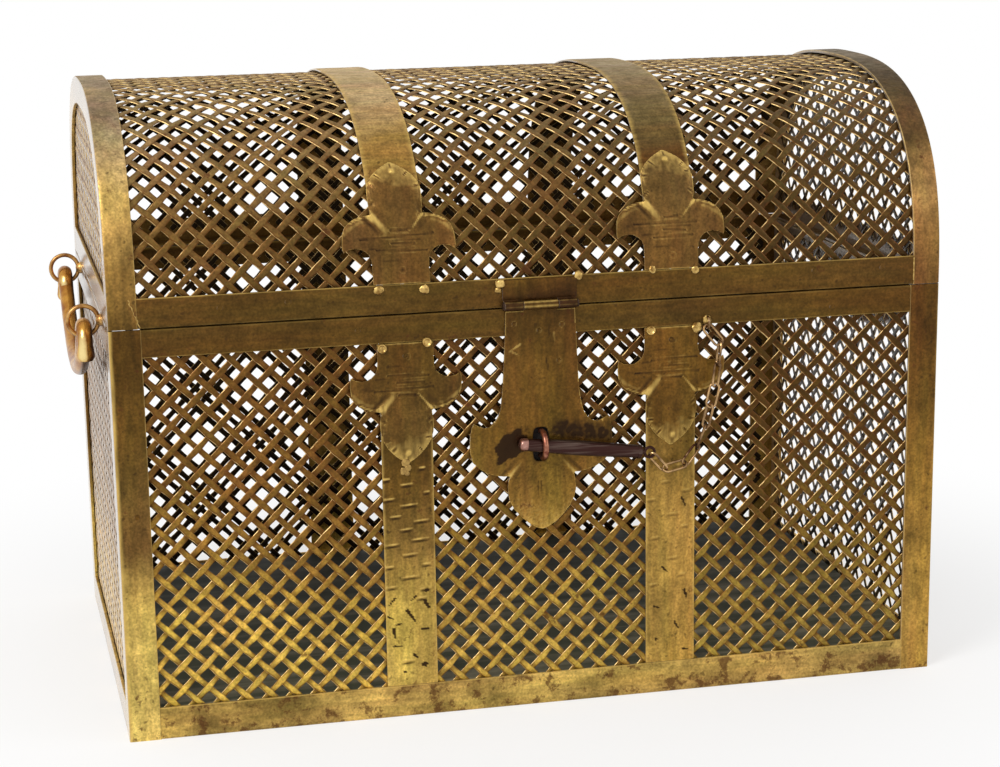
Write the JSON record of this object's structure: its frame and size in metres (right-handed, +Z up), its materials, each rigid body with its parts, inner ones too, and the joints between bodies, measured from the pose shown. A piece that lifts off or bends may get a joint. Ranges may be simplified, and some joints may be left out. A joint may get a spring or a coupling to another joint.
{
  "type": "dome-top trunk",
  "caption": "Openwork gilt metal trunk with a domed lid, woven lattice panels, fleur-ended straps, a hasp with staple, peg and chain, and a bail handle at each end.",
  "frame": {"origin": "centre of the whole part's plan, on the plane that the trunk stands on", "axes": "+X along the front towards the chain's side, +Y from the front to the back hinges, +Z up"},
  "size_m": [0.6058, 0.3532, 0.4175],
  "materials": {
    "gilt": "aged gilt, brown-gold, hand-hammered",
    "bright_gilt": "brighter yellow-gold where it is rubbed",
    "net_gilt": "brown-gold with reddish edges",
    "polished": "rubbed bright by hands",
    "dark_iron": "dark red-brown forged iron",
    "copper": "coppery red wire",
    "chain": "worn wire, gold above and red-brown below",
    "floor": "dull grey-green sheet"
  },
  "bodies": {
    "box": {"post_front_left": "gilt", "post_front_right": "gilt", "post_back_left": "gilt", "post_back_right": "gilt", "rim_front": "gilt", "rim_back": "gilt", "rim_left": "gilt", "rim_right": "gilt", "sill_front": "bright_gilt", "sill_back": "bright_gilt", "sill_left": "bright_gilt", "sill_right": "bright_gilt", "floor_sheet": "floor", "lattice_front": "net_gilt", "lattice_back": "net_gilt", "lattice_left": "net_gilt", "lattice_right": "net_gilt", "strap_front_left": "bright_gilt", "strap_front_right": "bright_gilt", "fleur_front_left": "gilt", "fleur_front_right": "gilt", "strap_back_left": "gilt", "strap_back_right": "gilt", "hinge_pin_left": "dark_iron", "hinge_pin_right": "dark_iron", "staple": "copper", "chain_link_1": "chain", "chain_link_2": "chain", "chain_link_3": "chain", "chain_link_4": "chain", "chain_link_5": "chain", "chain_link_6": "chain", "chain_link_7": "chain", "chain_link_8": "chain", "chain_link_9": "chain", "eye_left_front": "polished", "eye_left_back": "polished", "eye_right_front": "polished", "eye_right_back": "polished"},
    "lid": {"hinge_leaf_left": "gilt", "hinge_leaf_right": "gilt", "arch_left": "gilt", "arch_right": "gilt", "lid_rail_front": "gilt", "lid_rail_back": "gilt", "lid_rail_left": "gilt", "lid_rail_right": "gilt", "lid_lattice_left": "net_gilt", "lid_lattice_right": "net_gilt", "dome_lattice": "net_gilt", "strap_lid_left": "gilt", "strap_lid_right": "gilt", "fleur_lid_left": "gilt", "fleur_lid_right": "gilt", "hasp_leaf": "gilt", "hasp_pin": "copper"},
    "hasp": {"hasp": "gilt"},
    "peg": {"peg": "dark_iron"},
    "bail_left": {"bail_left": "polished"},
    "bail_right": {"bail_right": "polished"}
  },
  "joints": [
    {"name": "lid_hinge", "type": "hinge", "parent": "box", "child": "lid", "pos_m": [0, 0.17335, 0.275], "axis": [-1, 0, 0], "range_deg": [0, 105]},
    {"name": "hasp_swing", "type": "hinge", "parent": "lid", "child": "hasp", "pos_m": [0, -0.16355, 0.2768], "axis": [-1, 0, 0], "range_deg": [0, 150]},
    {"name": "peg_draw", "type": "slide", "parent": "box", "child": "peg", "axis": [0.9917, 0, -0.1288], "range_m": [0, 0.075], "deforming": ["chain_link_1", "chain_link_2", "chain_link_3", "chain_link_4", "chain_link_5", "chain_link_6", "chain_link_7", "chain_link_8", "chain_link_9"]},
    {"name": "bail_left_swing", "type": "hinge", "parent": "box", "child": "bail_left", "pos_m": [-0.2915, 0.00485, 0.2679], "axis": [0, 1, 0], "range_deg": [0, 170]},
    {"name": "bail_right_swing", "type": "hinge", "parent": "box", "child": "bail_right", "pos_m": [0.2915, 0.00485, 0.2679], "axis": [0, -1, 0], "range_deg": [0, 170]}
  ]
}
